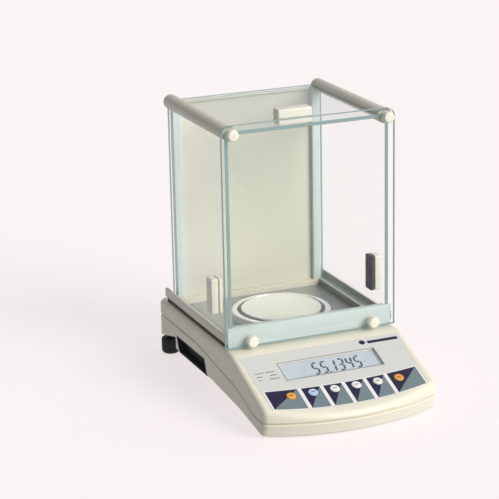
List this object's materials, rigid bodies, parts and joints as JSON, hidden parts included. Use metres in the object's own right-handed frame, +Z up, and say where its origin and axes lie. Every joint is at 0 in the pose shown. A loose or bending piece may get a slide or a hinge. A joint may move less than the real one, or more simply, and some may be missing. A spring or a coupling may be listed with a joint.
{
  "type": "analytical balance",
  "caption": "Analytical balance with a glass draft shield, sliding side doors and lid, a round pan in a draft ring, and a sloped key and display console.",
  "frame": {"origin": "centre of the bounding box in plan, on the bench that the feet stand on", "axes": "+Z up, +Y from the console at the front to the rear wall, +X to the right as the user sees it"},
  "size_m": [0.206, 0.33, 0.314],
  "materials": {
    "housing_cream": "fine moulded grain",
    "grip_black": "moulded grain",
    "foot_black": "fluted, satin",
    "pad_rubber": "matt",
    "screw_steel": "bright zinc",
    "film_grey": "fine-textured printed film",
    "lens_clear": "clear",
    "lcd_glass": "display cell in a frame",
    "board_green": "solder mask",
    "key_orange": "satin dome",
    "key_blue": "satin dome",
    "key_white": "satin dome",
    "jack_black": "moulded",
    "socket_metal": "nickel",
    "vial_clear": "clear with a bubble",
    "floor_steel": "polished",
    "bar_aluminium": "satin anodised",
    "rail_cream": "satin paint",
    "strip_white": "low-friction",
    "panel_cream": "satin paint",
    "shield_glass": "float glass with ground edges",
    "handle_cream": "satin",
    "knob_cream": "satin",
    "cell_aluminium": "machined",
    "coil_copper": "enamelled wire",
    "magnet_iron": "machined",
    "pan_steel": "polished stainless"
  },
  "bodies": {
    "root": {"lower_housing": "housing_cream", "upper_housing": "housing_cream", "left_side_grip": "grip_black", "right_side_grip": "grip_black", "front_pads": "pad_rubber", "housing_screws": "screw_steel", "shield_screws": "screw_steel", "keypad_film": "film_grey", "display_lens": "lens_clear", "lcd_module": "lcd_glass", "key_board": "board_green", "main_board": "board_green", "power_jack": "jack_black", "position_sensor": "jack_black", "data_socket": "socket_metal", "level_vial": "vial_clear", "floor_plate": "floor_steel", "front_bar": "bar_aluminium", "left_post": "bar_aluminium", "right_post": "bar_aluminium", "left_lower_rail": "rail_cream", "right_lower_rail": "rail_cream", "left_top_rail": "rail_cream", "right_top_rail": "rail_cream", "rear_bar": "rail_cream", "slide_strips": "strip_white", "rear_panel": "panel_cream", "front_glass": "shield_glass", "cell_frame": "cell_aluminium", "magnet_pot": "magnet_iron", "magnet_core": "magnet_iron"},
    "left_door": {"left_door_glass": "shield_glass", "left_door_handle": "handle_cream", "left_door_screws": "screw_steel"},
    "right_door": {"right_door_glass": "shield_glass", "right_door_handle": "handle_cream", "right_door_screws": "screw_steel"},
    "lid": {"lid_glass": "shield_glass", "lid_handle": "handle_cream", "lid_screws": "screw_steel"},
    "hanger": {"load_hanger": "cell_aluminium"},
    "pan": {"pan": "pan_steel", "pan_support": "cell_aluminium"},
    "ring": {"draft_ring": "pan_steel"},
    "beam": {"lever": "cell_aluminium", "coil": "coil_copper"},
    "upper_link": {"upper_guide": "cell_aluminium"},
    "lower_link": {"lower_guide": "cell_aluminium"},
    "left_foot": {"left_level_foot": "foot_black"},
    "right_foot": {"right_level_foot": "foot_black"},
    "upper_left_clamp": {"upper_left_knob": "knob_cream"},
    "upper_right_clamp": {"upper_right_knob": "knob_cream"},
    "lower_left_clamp": {"lower_left_knob": "knob_cream"},
    "lower_right_clamp": {"lower_right_knob": "knob_cream"},
    "key_body_1": {"key_1": "key_orange"},
    "key_body_2": {"key_2": "key_blue"},
    "key_body_3": {"key_3": "key_white"},
    "key_body_4": {"key_4": "key_white"},
    "key_body_5": {"key_5": "key_white"},
    "key_body_6": {"key_6": "key_orange"}
  },
  "joints": [
    {"name": "left_door_slide", "type": "slide", "parent": "root", "child": "left_door", "axis": [0, 1, 0], "range_m": [0, 0.118]},
    {"name": "right_door_slide", "type": "slide", "parent": "root", "child": "right_door", "axis": [0, 1, 0], "range_m": [0, 0.118]},
    {"name": "lid_slide", "type": "slide", "parent": "root", "child": "lid", "axis": [0, 1, 0], "range_m": [0, 0.118]},
    {"name": "key_1_press", "type": "slide", "parent": "root", "child": "key_body_1", "axis": [0, 0.3453, -0.9385], "range_m": [0, 0.0005], "stiffness_N_per_m": 500},
    {"name": "key_2_press", "type": "slide", "parent": "root", "child": "key_body_2", "axis": [0, 0.3453, -0.9385], "range_m": [0, 0.0005], "stiffness_N_per_m": 500},
    {"name": "key_3_press", "type": "slide", "parent": "root", "child": "key_body_3", "axis": [0, 0.3453, -0.9385], "range_m": [0, 0.0005], "stiffness_N_per_m": 500},
    {"name": "key_4_press", "type": "slide", "parent": "root", "child": "key_body_4", "axis": [0, 0.3453, -0.9385], "range_m": [0, 0.0005], "stiffness_N_per_m": 500},
    {"name": "key_5_press", "type": "slide", "parent": "root", "child": "key_body_5", "axis": [0, 0.3453, -0.9385], "range_m": [0, 0.0005], "stiffness_N_per_m": 500},
    {"name": "key_6_press", "type": "slide", "parent": "root", "child": "key_body_6", "axis": [0, 0.3453, -0.9385], "range_m": [0, 0.0005], "stiffness_N_per_m": 500},
    {"name": "pan_load", "type": "slide", "parent": "root", "child": "hanger", "axis": [0, 0, 1], "range_m": [-0.0003, 0], "stiffness_N_per_m": 6000, "springref_m": 0.0004},
    {"name": "pan_lift", "type": "slide", "parent": "hanger", "child": "pan", "axis": [0, 0, 1], "range_m": [0, 0.03]},
    {"name": "ring_lift", "type": "slide", "parent": "root", "child": "ring", "axis": [0, 0, 1], "range_m": [0, 0.03]},
    {"name": "beam_tilt", "type": "hinge", "parent": "root", "child": "beam", "pos_m": [0, 0.062, 0.051], "axis": [1, 0, 0], "range_deg": [0, 1.5]},
    {"name": "upper_link_tilt", "type": "hinge", "parent": "root", "child": "upper_link", "pos_m": [0, 0.0755, 0.0587], "axis": [1, 0, 0], "range_deg": [0, 0.5]},
    {"name": "lower_link_tilt", "type": "hinge", "parent": "root", "child": "lower_link", "pos_m": [0, 0.0755, 0.0332], "axis": [1, 0, 0], "range_deg": [0, 0.5]},
    {"name": "left_foot_turn", "type": "hinge", "parent": "root", "child": "left_foot", "pos_m": [-0.0915, 0.154, 0.02], "axis": [0, 0, 1], "continuous": true},
    {"name": "right_foot_turn", "type": "hinge", "parent": "root", "child": "right_foot", "pos_m": [0.0915, 0.154, 0.02], "axis": [0, 0, 1], "continuous": true},
    {"name": "upper_left_knob_turn", "type": "hinge", "parent": "root", "child": "upper_left_clamp", "pos_m": [-0.09, -0.045, 0.303], "axis": [0, -1, 0], "continuous": true},
    {"name": "upper_right_knob_turn", "type": "hinge", "parent": "root", "child": "upper_right_clamp", "pos_m": [0.09, -0.045, 0.303], "axis": [0, -1, 0], "continuous": true},
    {"name": "lower_left_knob_turn", "type": "hinge", "parent": "root", "child": "lower_left_clamp", "pos_m": [-0.072, -0.045, 0.0747], "axis": [0, -1, 0], "continuous": true},
    {"name": "lower_right_knob_turn", "type": "hinge", "parent": "root", "child": "lower_right_clamp", "pos_m": [0.072, -0.045, 0.0747], "axis": [0, -1, 0], "continuous": true}
  ],
  "couplings": [
    {"joint": "beam_tilt", "follows": "pan_load", "rad_per_m": -83.333},
    {"joint": "upper_link_tilt", "follows": "pan_load", "rad_per_m": -28.17},
    {"joint": "lower_link_tilt", "follows": "pan_load", "rad_per_m": -28.17}
  ]
}
